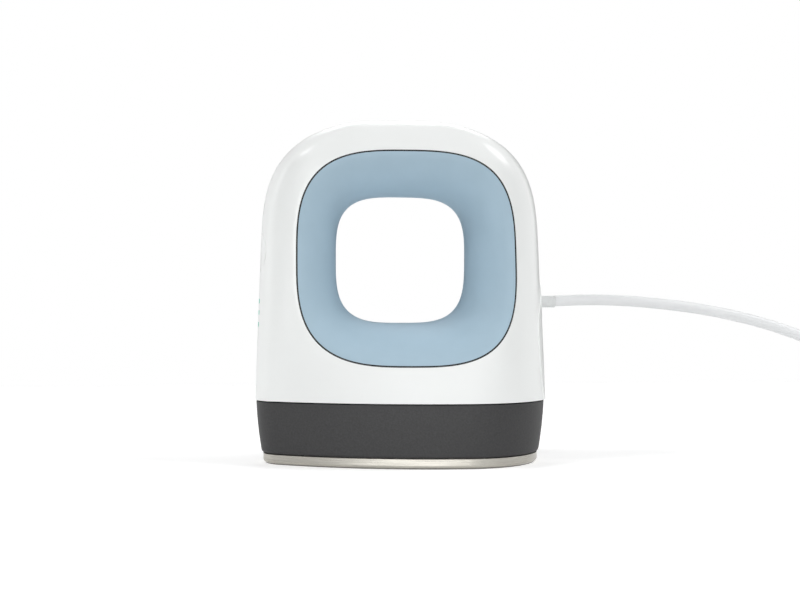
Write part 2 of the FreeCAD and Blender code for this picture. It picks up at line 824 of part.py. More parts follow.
def heat_shield():
    """Thin steel tray over the insulation, its rim turned down round the pad."""
    inset = shield_inset()
    z0, z1 = shield_height, shield_height + shield_thickness
    rim_z = shield_height - shield_rim
    rim = slab(inset, rim_z, z0).cut(slab(inset + shield_thickness, rim_z, z0))
    tray = slab(inset, z0, z1).fuse(rim)
    holes = [rod((*s, z0), Z_AXIS, standoff_radius + loose_gap, shield_thickness) for s in mount_spots()]
    holes += [rod((*s, z0), Z_AXIS, sleeve_radius + loose_gap, shield_thickness) for s in terminal_spots()]
    return cut_all(tray, holes + [sensor_slot(z0, z1)])


def plate_standoffs():
    return Part.makeCompound([tube((*s, mount_boss_top), Z_AXIS, standoff_radius, screw_hole,
                                   deck_bottom - mount_boss_top) for s in mount_spots()])


def plate_screws():
    length = deck_top - mount_boss_top + mount_thread
    return Part.makeCompound([pan_screw((*s, deck_top), V(0, 0, -1), screw_shank, screw_head,
                                        screw_head_height, length) for s in mount_spots()])


def deck_screws():
    """Screws from under the deck up into the shells' bosses."""
    return Part.makeCompound([pan_screw((*s, deck_bottom), Z_AXIS, screw_shank, screw_head,
                                        screw_head_height, deck_screw_length) for s in all_boss_spots()])


def sensor_x():
    return clamp_post_x[0] - sensor_offset


def sensor_height(radius):
    return plate_top + radius + seat_gap


def thermal_fuse():
    spot = (sensor_x(), -sensor_side, sensor_height(fuse_radius))
    return rod(spot, X_AXIS, fuse_radius, fuse_length)


def thermistor():
    spot = (sensor_x(), sensor_side, sensor_height(bead_radius))
    bead = Part.makeSphere(bead_radius, V(*spot) + X_AXIS * bead_length)
    return rod(spot, X_AXIS, bead_radius, bead_length).fuse(bead)


# ---------------------------------------------------------------- paths of wires and cord
def rounded_path(points, report=None):
    """Straight runs joined by tangent arcs; each arc is as large as its two runs allow."""
    points = [V(*p) for p in points]
    edges = []
    here = points[0]
    for before, corner, after in zip(points, points[1:], points[2:]):
        back = before - corner
        on = after - corner
        half_turn = (math.pi - back.getAngle(on)) / 2
        take = 0.45 * min(back.Length, on.Length)
        radius = take / math.tan(half_turn)
        back.normalize()
        on.normalize()
        middle_way = (back + on).normalize()
        start = corner + back * take
        end = corner + on * take
        middle = corner + middle_way * (radius / math.cos(half_turn) - radius)
        if (start - here).Length > 1e-6:
            edges.append(Part.LineSegment(here, start).toShape())
        edges.append(Part.Arc(start, middle, end).toShape())
        here = end
        if report is not None:
            report.append(round(radius, 1))
    edges.append(Part.LineSegment(here, points[-1]).toShape())
    return Part.Wire(edges)


def wire_along(points, radius, report=None):
    path = rounded_path(points, report)
    start = V(*points[0])
    solid = sweep(path, start, V(*points[1]) - start, radius)
    if report is not None:
        report.append("length %.1f, volume ratio %.4f" % (path.Length,
                      solid.Volume / (math.pi * radius ** 2 * path.Length)))
    return solid


def sensor_leads():
    """Two leads from the sensors on the plate up through the slot to the board's edge."""
    x = sensor_x() - slot_offset
    leads = []
    for side, radius in ((-1, fuse_radius), (1, bead_radius)):
        z = sensor_height(radius)
        y = side * sensor_side
        leads.append(wire_along([(sensor_x(), y, z), (x + 0.3, y, z), (x, y, z + 5),
                                 (x, y - side * 0.2, board_height - seat_gap)], sensor_wire))
    return Part.makeCompound(leads)


def heater_leads():
    """Leads from the terminals up and over to the nose end of the board."""
    leads = []
    for x, y in terminal_spots():
        side = 1 if y > 0 else -1
        leads.append(wire_along([(x, y, terminal_top + seat_gap), (x, y, terminal_top + 4),
                                 (x + 3.0, y - side * 1.0, terminal_top + 7.5),
                                 (x + 7.0, y - side * 1.5, terminal_top + 7),
                                 (x + 7.5, y - side * 1.6, board_top + 4 * seat_gap)], heater_wire))
    return Part.makeCompound(leads)


def mains_leads():
    """Live and neutral from the strain relief down inside the heel to the terminal block."""
    x0 = relief_inner_x()
    end, top = TERMINAL_BLOCK[0], board_top + TERMINAL_BLOCK[4]
    leads = []
    for side in (-1, 1):
        contact = side * contact_side
        leads.append(wire_along([(x0 - seat_gap, side, cord_height), (x0 - 4.5, side, cord_height),
                                 (x0 - 6.0, side * 1.4, cord_height - 6), (x0 - 8.0, side * 2.2, top + 4),
                                 (end + 1, contact, top + 3.5), (end, contact, top)], mains_wire))
    return Part.makeCompound(leads)


# ---------------------------------------------------------------- nose: button, switch, lights
def button_back_x():
    return nose_x(button_height) + button_depth


def power_button(form):
    """Round cap flush with the nose, with two ears behind the wall that keep it in."""
    back = button_back_x()
    front = nose_x(button_height) - past
    cap = rod((front, 0, button_height), X_AXIS, button_radius, back - front)
    whole = form.fuse(to_rear(form))
    cap = cap.common(whole)
    ears = block(back - ear_thickness, back, -ear_half_width, ear_half_width,
                 button_height - ear_reach, button_height + ear_reach)
    return cap.fuse(ears)


def switch_plunger():
    return rod((button_back_x(), 0, button_height), X_AXIS, plunger_radius, plunger_length)


def switch_front_x():
    return button_back_x() + button_travel + travel_margin


def nose_board_front_x():
    return switch_front_x() + switch_depth


def tact_switch():
    x = switch_front_x()
    h = switch_size / 2
    body = block(x, x + switch_depth, -h, h, button_height - h, button_height + h)
    bore = rod((x, 0, button_height), X_AXIS, plunger_radius + seat_gap, plunger_length + travel_margin)
    return body.cut(bore)


def indicator_board():
    x = nose_board_front_x()
    return block(x, x + nose_board_thickness, -nose_board_half_width, nose_board_half_width,
                 nose_board_bottom, nose_board_top)


def indicator_leds():
    x = nose_board_front_x()
    tall, wide = led_size
    return Part.makeCompound([block(x - led_depth, x, -wide / 2, wide / 2, h - tall / 2, h + tall / 2)
                              for h in light_heights])


def light_pipe(form, height):
    """Clear bar from the LED out to the nose's surface."""
    tall, wide = light_size
    x0 = nose_x(height) - past
    x1 = nose_board_front_x() - led_depth - travel_margin
    bar = block(x0, x1, -wide / 2, wide / 2, height - tall / 2, height + tall / 2)
    return bar.common(form.fuse(to_rear(form)))


def mast_x():
    return nose_board_front_x() + nose_board_thickness


def mast_screw_x():
    return mast_x() - mast_foot_reach


def indicator_mast():
    """Upright that carries the nose board, its foot screwed to the deck."""
    x = mast_x()
    upright = block(x, x + mast_thickness, -mast_half_width, mast_half_width, deck_top, nose_board_top)
    foot_top = deck_top + mast_foot_thickness
    foot_x = mast_screw_x() - mast_foot_margin
    foot = block(foot_x, x, -mast_half_width, mast_half_width, deck_top, foot_top)
    hole = rod((mast_screw_x(), 0, deck_top), Z_AXIS, small_hole, mast_foot_thickness)
    mast = upright.fuse(foot).cut(hole)
    for z in nose_board_screw_heights():
        mast = mast.cut(rod((x, 0, z), X_AXIS, small_pilot, mast_thickness))
    return mast


def nose_board_screw_heights():
    return (nose_board_bottom + nose_board_screw_inset, nose_board_top - nose_board_screw_inset)


def board_with_holes():
    board = indicator_board()
    for z in nose_board_screw_heights():
        hole = rod((nose_board_front_x(), 0, z), X_AXIS, small_hole, nose_board_thickness)
        board = board.cut(hole)
    return board


def mast_screws():
    seat = deck_top + mast_foot_thickness
    screws = [pan_screw((mast_screw_x(), 0, seat), V(0, 0, -1), small_shank, small_head,
                        small_head_height, seat - deck_bottom)]
    reach_in = nose_board_thickness + mast_thickness - travel_margin
    for z in nose_board_screw_heights():
        screws.append(pan_screw((nose_board_front_x(), 0, z), X_AXIS, small_shank, small_head,
                                small_head_height, reach_in))
    return Part.makeCompound(screws)


def board_ribbon():
    """Flat cable from the foot of the nose board to the main board, standing on its edge."""
    x = nose_board_front_x() - 0.4
    y = mast_half_width + 0.6
    points = [(x + 0.9, y, nose_board_bottom), (x + 0.9, y, board_top + 7.0), (x + 8.0, y, board_top + 3.4),
              (board_nose_x + 2, y, board_top + 1.2)]
    path = rounded_path(points)
    strip = Part.Wire(rectangle(V(*points[0]), ribbon_width / 2, ribbon_thickness / 2))
    return path.makePipeShell([strip], True, False)


def rectangle(centre, half_x, half_y):
    corners = [centre + V(sx * half_x, sy * half_y, 0) for sx, sy in ((-1, -1), (1, -1), (1, 1), (-1, 1))]
    return [Part.makeLine(a, b) for a, b in zip(corners, corners[1:] + corners[:1])]


# ---------------------------------------------------------------- main board and its parts
def main_board():
    z0, z1 = board_height, board_top
    board = slab(board_inset, z0, z1).common(block(board_nose_x, board_heel_x, -FAR, FAR, z0, z1))
    for spot in board_spots():
        board = board.cut(rod((*spot, z0), Z_AXIS, small_hole, board_thickness))
    return board


def board_screws():
    return Part.makeCompound([pan_screw((*s, board_top), V(0, 0, -1), small_shank, small_head,
                                        small_head_height, 5) for s in board_spots()])


def on_board(x, y, length, width, height, lift=0.0):
    z = board_top + lift
    return block(x - length / 2, x + length / 2, y - width / 2, y + width / 2, z, z + height)


def round_upright_edges(body, radius):
    return body.makeFillet(radius, [e for e in body.Edges if abs(e.tangentAt(0).z) > 0.9])


def terminal_block():
    x, y = TERMINAL_BLOCK[:2]
    mouth = board_top + TERMINAL_BLOCK[4] - contact_depth
    body = on_board(*TERMINAL_BLOCK)
    for side in (-1, 1):
        body = body.cut(rod((x, y + side * contact_side, mouth), Z_AXIS, contact_radius, contact_depth))
    return body


def board_fuse():
    x, y = board_fuse_spot
    z = board_top + board_fuse_height
    start = x - board_fuse_length / 2
    glass = rod((start, y, z), X_AXIS, board_fuse_radius, board_fuse_length)
    caps = [rod((cap_x, y, z), X_AXIS, board_fuse_cap, board_fuse_cap_length)
            for cap_x in (start, start + board_fuse_length - board_fuse_cap_length)]
    return union([glass] + caps)


def fuse_clips():
    x, y = board_fuse_spot
    z = board_top + board_fuse_height
    w = clip_half_width
    outer = board_fuse_cap + clip_wall
    clips = []
    for side in (-1, 1):
        cx = x + side * (board_fuse_length - board_fuse_cap_length) / 2
        holder = block(cx - w, cx + w, y - outer, y + outer, board_top, z + clip_mouth)
        bore = rod((cx - w, y, z), X_AXIS, board_fuse_cap + seat_gap, 2 * w)
        mouth = block(cx - w, cx + w, y - clip_mouth, y + clip_mouth, z, z + board_fuse_cap)
        clips.append(holder.cut(bore).cut(mouth))
    return Part.makeCompound(clips)


def film_capacitor():
    return round_upright_edges(on_board(*FILM_CAPACITOR), 0.8)


def supply_module():
    return round_upright_edges(on_board(*SUPPLY_MODULE), 0.5)


def triac():
    x, y = TRIAC[:2]
    body = on_board(*TRIAC, triac_legs)
    legs = [on_board(x + i * triac_leg_pitch, y, triac_leg, triac_leg, triac_legs) for i in (-1, 0, 1)]
    return body.fuse(union(legs))


def triac_heatsink():
    """Finned aluminium plate on the triac's back, standing on the board."""
    x, y, length, width, height = TRIAC
    thick, deep = heatsink_fin
    half = length / 2 + heatsink_margin
    back_y = y + width / 2
    back = on_board(x, back_y + heatsink_plate / 2, 2 * half, heatsink_plate, height + triac_legs)
    step = (2 * half - thick) / (heatsink_fins - 1)
    fin_y = back_y + heatsink_plate + deep / 2
    fins = [on_board(x - half + thick / 2 + i * step, fin_y, thick, deep, height, triac_legs)
            for i in range(heatsink_fins)]
    return union([back] + fins)


def microcontroller():
    return on_board(*MICROCONTROLLER)


def motion_sensor():
    return rod((*motion_sensor_spot, board_top), Z_AXIS, motion_sensor_radius, motion_sensor_height)


# ---------------------------------------------------------------- cord outlet, cord, plug
def relief_inner_x():
    return bezel_inner_x() - relief_disc_length


def bezel_inner_x():
    return heel_x(cord_height, shell_wall) - bezel_behind


def cord_bezel(raised):
    """Round dished bush in the heel wall, its lip a little proud of the shell."""
    x0 = bezel_inner_x()
    x1 = heel_x(cord_height) + bezel_lip + past
    bush = rod((x0, 0, cord_height), X_AXIS, bezel_radius, x1 - x0).common(raised.fuse(to_rear(raised)))
    bush = bush.cut(rod((x0, 0, cord_height), X_AXIS, bezel_bore, x1 - x0))
    dish_start = V(heel_x(cord_height) - dish_depth, 0, cord_height)
    dish = Part.makeCone(bezel_bore, bezel_radius, 2 * dish_depth, dish_start, X_AXIS)
    flange = tube((x0, 0, cord_height), X_AXIS, bezel_radius + bezel_flange, bezel_bore, bezel_flange)
    return bush.cut(dish).fuse(flange)


def strain_relief():
    """Rubber boot: a disc behind the bezel, a neck through it and the short stub that shows."""
    x0 = relief_inner_x()
    disc = rod((x0, 0, cord_height), X_AXIS, relief_disc_radius, relief_disc_length)
    neck_end = heel_x(cord_height) - dish_depth - loose_gap
    neck = rod((x0, 0, cord_height), X_AXIS, bezel_bore - seat_gap, neck_end - x0)
    stub = rod((x0, 0, cord_height), X_AXIS, boot_radius, boot_end_x - x0)
    return union([disc, neck, stub])


def mains_cord():
    radii = []
    cord = wire_along(CORD_ROUTE, cord_radius, radii)
    print("mains_cord radii", radii)
    return cord


def plug_tail():
    radii = []
    tail = wire_along(TAIL_ROUTE, cord_radius, radii)
    print("plug_tail radii", radii)
    return tail


def cord_coil():
    """The outer shape of the coiled cord: a ring of square section with soft edges."""
    ring = tube((coil_x, 0, 0), Z_AXIS, coil_outer, coil_inner, 2 * coil_half)
    rims = [e for e in ring.Edges if e.Closed and e.Curve.TypeId == "Part::GeomCircle"]
    return ring.makeFillet(cord_radius, rims)


def cord_tie():
    """Strap round the coil's section, on the side away from the press."""
    w = tie_width / 2
    out = seat_gap + tie_thickness
    top = 2 * coil_half + seat_gap
    x0 = coil_x + math.sqrt(coil_inner ** 2 - w ** 2)
    x1 = coil_x + coil_outer
    band = block(x0 - out, x1 + out, -w, w, 0, top + tie_thickness)
    return band.cut(block(x0 - seat_gap, x1 + seat_gap, -w, w, -past, top))


def plug_body():
    """Flat two-pin plug lying on the surface, tapered to the cord."""
    x, y, z = TAIL_ROUTE[-1]
    wide, tall = plug_half_width, plug_half_height
    start = x - plug_taper
    grip = block(x - plug_length, start, y - wide, y + wide, z - tall, z + tall)
    grip = grip.makeFillet(plug_corner, [e for e in grip.Edges if abs(e.tangentAt(0).x) > 0.9])
    step_y, step_z = plug_shoulder
    shoulder = plug_section(start, y, z, wide - step_y, tall - step_z)
    neck = plug_section(x, y, z, plug_neck, plug_neck)
    return grip.fuse(Part.makeLoft([shoulder, neck], True, True))


def plug_section(x, y, z, half_y, half_z):
    corners = [V(x, y + sy * half_y, z + sz * half_z) for sy, sz in ((-1, -1), (1, -1), (1, 1), (-1, 1))]
    return Part.makePolygon(corners + corners[:1])


def plug_blades():
    x, y, z = TAIL_ROUTE[-1]
    root = x - plug_length
    tip = root - blade_length
    half_t = blade_thickness / 2
    half_h = blade_height / 2
    blades = []
    for side in (-1, 1):
        cy = y + side * blade_spacing / 2
        blade = block(tip, root, cy - half_t, cy + half_t, z - half_h, z + half_h)
        hole = rod((tip + blade_hole_from_tip, cy - past, z), Y_AXIS, blade_hole_radius, 2 * past)
        blades.append(blade.cut(hole))
    return Part.makeCompound(blades)


# ---------------------------------------------------------------- assembly
def body_nodes():
    """White shells, blue grip halves, seals and the pieces shaped by the body's surface."""
    form = body_form(0)
    under_liner = shell_wall + liner_gap
    flange = body_form(under_liner)
    under_flange = body_form(under_liner + flange_wall)
    hollow = cavity_form(shell_wall)
    deep = cavity_form(under_liner + flange_wall)
    front = white_shell(form, body_form(0.6), body_form(-heel_panel_raise), flange, hollow, deep)
    rear = to_rear(front)
    front, rear = add_corner_bosses(front, rear, under_flange)
    holes = shell_openings()
    front = cut_all(front, holes)
    rear = cut_all(rear, holes)
    liner = grip_liner(form, hollow)
    seal = groove_seal(body_form(seal_recess), flange)
    nodes = {
        "front_shell": front, "rear_shell": rear,
        "front_grip_liner": liner, "rear_grip_liner": to_rear(liner),
        "front_groove_seal": seal, "rear_groove_seal": to_rear(seal),
        "corner_screws": corner_screws(),
        "power_button": power_button(form),
        "cord_bezel": cord_bezel(body_form(-bezel_lip)),
    }
    for name, height in zip(("low", "medium", "high"), light_heights):
        nodes[name + "_light_pipe"] = light_pipe(form, height)
    return nodes


def inner_nodes():
    return {
        "base_skirt": base_skirt(), "heat_plate": heat_plate(), "ceramic_coating": ceramic_coating(),
        "heating_element": element_body(element_radius), "element_terminals": element_terminals(),
        "terminal_sleeves": terminal_sleeves(), "heater_clamp": heater_clamp(),
        "clamp_screws": clamp_screws(),
        "mica_sheet": mica_sheet(), "insulation_pad": insulation_pad(), "heat_shield": heat_shield(),
        "plate_standoffs": plate_standoffs(), "plate_screws": plate_screws(),
        "deck_screws": deck_screws(),
        "thermal_fuse": thermal_fuse(), "thermistor": thermistor(), "sensor_leads": sensor_leads(),
        "switch_plunger": switch_plunger(), "tact_switch": tact_switch(),
        "indicator_board": board_with_holes(), "indicator_leds": indicator_leds(),
        "indicator_mast": indicator_mast(), "mast_screws": mast_screws(), "board_ribbon": board_ribbon(),
        "main_board": main_board(), "board_screws": board_screws(), "terminal_block": terminal_block(),
        "board_fuse": board_fuse(), "fuse_clips": fuse_clips(), "film_capacitor": film_capacitor(),
        "supply_module": supply_module(), "triac": triac(), "triac_heatsink": triac_heatsink(),
        "microcontroller": microcontroller(), "motion_sensor": motion_sensor(),
        "heater_leads": heater_leads(), "mains_leads": mains_leads(),
    }


def cord_nodes():
    return {
        "strain_relief": strain_relief(), "mains_cord": mains_cord(), "cord_coil": cord_coil(),
        "cord_tie": cord_tie(), "plug_tail": plug_tail(), "plug_body": plug_body(),
        "plug_blades": plug_blades(),
    }


os.makedirs("parts", exist_ok=True)
for group in (body_nodes(), inner_nodes(), cord_nodes()):
    for node, shape in group.items():
        shape.exportStep("parts/" + node + ".step")
        box = shape.BoundBox
        print("%-20s valid %s  solids %d  volume %.1f  x %.1f..%.1f  y %.1f..%.1f  z %.1f..%.1f" % (
            node, shape.isValid(), len(shape.Solids), shape.Volume,
            box.XMin, box.XMax, box.YMin, box.YMax, box.ZMin, box.ZMax))
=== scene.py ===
# %% [markdown]
# # A mini handheld heat press
# A small craft iron: a teardrop plate that heats up, a dark skirt over it, and a white body that rises
# into a ring with a soft blue grip inside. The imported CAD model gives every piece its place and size,
# so this lesson only dresses it: smooth skins, finishes, a real cord, light and a camera.

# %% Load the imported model
import bmesh
import bpy
import json
import math
from mathutils import Matrix, Vector


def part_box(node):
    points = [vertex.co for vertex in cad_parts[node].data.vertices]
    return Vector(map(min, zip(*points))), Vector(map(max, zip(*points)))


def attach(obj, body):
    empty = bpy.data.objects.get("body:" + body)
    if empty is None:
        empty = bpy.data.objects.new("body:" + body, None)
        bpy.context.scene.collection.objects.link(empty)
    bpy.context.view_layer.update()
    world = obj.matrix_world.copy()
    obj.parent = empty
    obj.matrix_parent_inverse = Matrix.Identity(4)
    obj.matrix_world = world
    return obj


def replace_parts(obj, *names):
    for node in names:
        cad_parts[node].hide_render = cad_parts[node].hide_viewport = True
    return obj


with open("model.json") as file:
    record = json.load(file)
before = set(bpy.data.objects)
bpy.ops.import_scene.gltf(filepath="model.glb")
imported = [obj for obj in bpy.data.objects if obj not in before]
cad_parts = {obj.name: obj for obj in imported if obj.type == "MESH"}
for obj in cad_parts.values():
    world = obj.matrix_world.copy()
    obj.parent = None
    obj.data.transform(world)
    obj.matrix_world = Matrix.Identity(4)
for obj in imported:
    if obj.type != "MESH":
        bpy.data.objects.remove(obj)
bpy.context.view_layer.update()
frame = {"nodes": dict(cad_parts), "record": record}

MM = 0.001
print("CAD pieces:", len(frame["nodes"]))

# %% [markdown]
# ## Camera
# The view looks along +Y, turned a little towards the heel, from a hand's breadth above the table. A
# lens of 52 mm on a 36 mm sensor, a forearm away, keeps the ring's far side a little smaller than its
# near side.

# %% Place the camera
CAMERA_TURN = math.radians(7.2)  # towards +X
CAMERA_RISE = math.radians(0.95)  # the view tilts up by this
CAMERA_DISTANCE = 350.0 * MM
CAMERA_TARGET = Vector((-0.26 * MM, 0.0, 48.4 * MM))
LENS = 51.98


def make_camera():
    ahead = Vector((math.sin(CAMERA_TURN) * math.cos(CAMERA_RISE),
                    math.cos(CAMERA_TURN) * math.cos(CAMERA_RISE), math.sin(CAMERA_RISE)))
    data = bpy.data.cameras.new("camera")
    data.lens = LENS
    data.sensor_width = 36.0
    data.clip_start = 0.01
    camera = bpy.data.objects.new("camera", data)
    bpy.context.scene.collection.objects.link(camera)
    camera.location = CAMERA_TARGET - ahead * CAMERA_DISTANCE
    camera.rotation_mode = "QUATERNION"
    camera.rotation_quaternion = ahead.to_track_quat("-Z", "Y")
    bpy.context.scene.camera = camera
    return camera


camera = make_camera()
print("camera at", [round(c, 3) for c in camera.location])

# %% [markdown]
# ## Cord
# A light grey two-core lead, 3.4 mm thick. It leaves the boot straight, sags to the table and is wound
# into a neat coil of thirteen and a half turns, held by a strap, with a two-pin plug beside it. One
# NURBS curve is right for it: its control points are few, and the curve between them is always smooth.

# %% Route the cord
CORD_THICKNESS = 3.4  # in millimetres, as are all the lengths of the routes and the coil
CORD_DIAMETER = CORD_THICKNESS * MM
CORD_ROUTE = [
    (47.8, 0.0, 48.2), (58.0, 0.0, 48.8), (76.0, 0.0, 48.1), (100.0, -1.0, 45.2),
    (124.0, -4.0, 38.6), (145.0, -9.0, 28.0), (161.0, -14.0, 17.0), (175.0, -18.5, 8.0),
    (188.0, -22.0, 2.9), (202.0, -23.6, 1.75),
]
TAIL_ROUTE = [(202.0, 23.6, 11.9), (195.0, 24.2, 10.6), (188.5, 23.6, 7.0)]
COIL_CENTRE = (213.0, 0.0)
COIL_RADII = (23.6, 20.2, 16.8, 13.4)  # a cord's thickness apart
COIL_TURNS = ((0, 1, 2, 3), (3, 2, 1, 0), (0, 1, 2), (1, 0))  # which radius each turn of a layer has
LAST_TURN = 0.5  # how much of the last turn is wound before the tail leaves it
POINTS_PER_TURN = 20
SHIFT_SHARE = 0.35  # the last part of a turn, where the cord moves over to the next


def coil_points():
    """Control points of the wound turns: each keeps its radius and then eases over to the next."""
    turns = [(COIL_RADII[ring], (layer + 0.5) * CORD_THICKNESS)
             for layer, rings in enumerate(COIL_TURNS) for ring in rings]
    turns.append(turns[-1])
    pull = 1 - (math.pi / POINTS_PER_TURN) ** 2 / 3  # the curve runs this much inside its control points
    points = []
    last = int((len(turns) - 1 + LAST_TURN) * POINTS_PER_TURN)
    for i in range(last + 1):
        turn, share = divmod(i / POINTS_PER_TURN, 1)
        here = turns[int(turn)]
        after = turns[min(int(turn) + 1, len(turns) - 1)]
        ease = max(share - (1 - SHIFT_SHARE), 0) / SHIFT_SHARE
        ease = ease * ease * (3 - 2 * ease)
        radius = (here[0] * (1 - ease) + after[0] * ease) / pull
        height = here[1] * (1 - ease) + after[1] * ease
        angle = 2 * math.pi * i / POINTS_PER_TURN - math.pi / 2
        points.append((COIL_CENTRE[0] + radius * math.cos(angle),
                       COIL_CENTRE[1] + radius * math.sin(angle), height))
    return points


def make_cord():
    route = CORD_ROUTE + coil_points() + TAIL_ROUTE
    data = bpy.data.curves.new("mains_cord_skin", "CURVE")
    data.dimensions = "3D"
    spline = data.splines.new("NURBS")
    spline.points.add(len(route) - 1)
    for point, place in zip(spline.points, route):
        point.co = (*[c * MM for c in place], 1.0)
    spline.order_u = 3
    spline.use_endpoint_u = True
    data.resolution_u = 4
    data.bevel_depth = CORD_DIAMETER / 2
    data.bevel_resolution = 5
    cord = bpy.data.objects.new("mains_cord_skin", data)
    bpy.context.scene.collection.objects.link(cord)
    print("cord length", round(spline.calc_length(), 4))
    return cord


cord = make_cord()

# %% [markdown]
# ## Colours and nodes
# Colours are written as the sRGB hex values that a paint chart gives, and one function turns them into
# the linear light that shaders work in. One more function adds a node, sets it and wires it up.

# %% Helpers for finishes
def linear(hex_colour):
    channels = [int(hex_colour[i:i + 2], 16) / 255 for i in (0, 2, 4)]
    return [c / 12.92 if c <= 0.04045 else ((c + 0.055) / 1.055) ** 2.4 for c in channels] + [1.0]


def add_node(owner, kind, settings=None, values=None, links=None):
    """Adds one node: settings are its properties, values its plain inputs, links its wired ones."""
    node = owner.node_tree.nodes.new(kind)
    for name, value in (settings or {}).items():
        setattr(node, name, value)
    for name, value in (values or {}).items():
        node.inputs[name].default_value = value
    for name, source in (links or {}).items():
        owner.node_tree.links.new(source, node.inputs[name])
    return node


def finish(name, colour, roughness, **values):
    """A material with its Principled shader set; values are more of that shader's inputs."""
    material = bpy.data.materials.new(name)
    material.use_nodes = True
    shader = material.node_tree.nodes["Principled BSDF"]
    shader.inputs["Base Color"].default_value = linear(colour)
    shader.inputs["Roughness"].default_value = roughness
    for key, value in values.items():
        shader.inputs[key.replace("_", " ")].default_value = value
    return material, shader


def object_space(material, stretch=(1.0, 1.0, 1.0)):
    """Object coordinates in millimetres, stretched along the axes."""
    place = add_node(material, "ShaderNodeTexCoord")
    scale = [s / MM for s in stretch]
    return add_node(material, "ShaderNodeMapping", {"vector_type": "POINT"}, {"Scale": scale},
                    {"Vector": place.outputs["Object"]}).outputs["Vector"]


def noise(material, vector, size_mm, detail=3.0):
    """Noise whose patches are about size_mm across."""
    return add_node(material, "ShaderNodeTexNoise", None, {"Scale": 1 / size_mm, "Detail": detail},
                    {"Vector": vector}).outputs["Fac"]


def spread(material, fac, low=0.0, high=1.0):
    """Maps a pattern's usual 0.3 to 0.7 on to low to high."""
    return add_node(material, "ShaderNodeMapRange", None,
                    {"From Min": 0.3, "From Max": 0.7, "To Min": low, "To Max": high},
                    {"Value": fac}).outputs["Result"]


def bump(material, shader, height, depth_mm):
    """Raises the surface by height times depth_mm."""
    node = add_node(material, "ShaderNodeBump", None, {"Strength": 1.0, "Distance": depth_mm * MM},
                    {"Height": height})
    material.node_tree.links.new(node.outputs["Normal"], shader.inputs["Normal"])


def tint(material, shader, fac, dark, light):
    """Varies the base colour between two hex colours. The mix node has several sockets called A and B, so
    its two colours and its colour output go by their numbers."""
    mix = add_node(material, "ShaderNodeMix", {"data_type": "RGBA"}, None, {"Factor": fac})
    mix.inputs[6].default_value = linear(dark)
    mix.inputs[7].default_value = linear(light)
    material.node_tree.links.new(mix.outputs[2], shader.inputs["Base Color"])


# %% [markdown]
# ## White ABS
# The shells, button and bezel are ABS moulded in a polished tool, then left bare. It reads as clean
# white with a soft gloss. A polished moulding still has a very shallow waviness, a few millimetres
# across, and its white drifts a little with the flow of the melt.

# %% White ABS
def white_abs():
    material, shader = finish("moulded_white_abs", "F3F5F4", 0.31, IOR=1.54)
    where = object_space(material)
    bump(material, shader, noise(material, where, 9.0, 1.0), 0.02)
    tint(material, shader, noise(material, where, 14.0, 1.0), "F2F4F3", "F4F6F5")
    return material


# %% [markdown]
# ## Light blue grip
# The grip halves are ABS with a matt, skin-soft coat. Its grain, about 0.15 mm, is what kills the gloss.

# %% Matt blue grip
def blue_grip():
    material, shader = finish("soft_touch_blue", "ADC5D4", 0.58, Specular_IOR_Level=0.2)
    where = object_space(material)
    bump(material, shader, noise(material, where, 0.35, 2.0), 0.006)
    tint(material, shader, noise(material, where, 6.0, 2.0), "AAC2D1", "B0C8D7")
    return material


# %% [markdown]
# ## Spark-textured skirt
# The skirt is a high-temperature nylon from a spark-eroded tool. Its pits are about 0.2 mm across, drawn
# here at 0.5 mm so that they show: they scatter the light and speckle the grey.

# %% Skirt texture
def textured_skirt():
    material, shader = finish("spark_textured_nylon", "2A2A2B", 0.62, IOR=1.53)
    grain = noise(material, object_space(material), 0.5, 2.0)
    bump(material, shader, grain, 0.04)
    tint(material, shader, spread(material, grain), "252526", "2F2F30")
    return material


# %% [markdown]
# ## Turned aluminium plate
# The plate is cast and its edge is turned, which leaves fine scratches that run round the edge. Noise
# squeezed in height draws them: it is long and thin, 0.1 mm high. The scratches are too fine to be
# bumps at this scale, so they vary the roughness and the grey.

# %% Aluminium
SCRATCH_STRETCH = (0.05, 0.05, 4.0)


def turned_aluminium():
    material, shader = finish("turned_aluminium", "B2AFA7", 0.3, Metallic=1.0)
    lines = noise(material, object_space(material, SCRATCH_STRETCH), 0.6, 4.0)
    tint(material, shader, spread(material, lines), "A7A49C", "BDBAB2")
    rough = spread(material, lines, 0.24, 0.38)
    material.node_tree.links.new(rough, shader.inputs["Roughness"])
    bump(material, shader, lines, 0.004)
    return material


# %% [markdown]
# ## The plain finishes
# Most other pieces have one colour, one gloss and a fine grain, which also darkens the colour a little. A
# table holds what differs, so that each real finish stays a line.

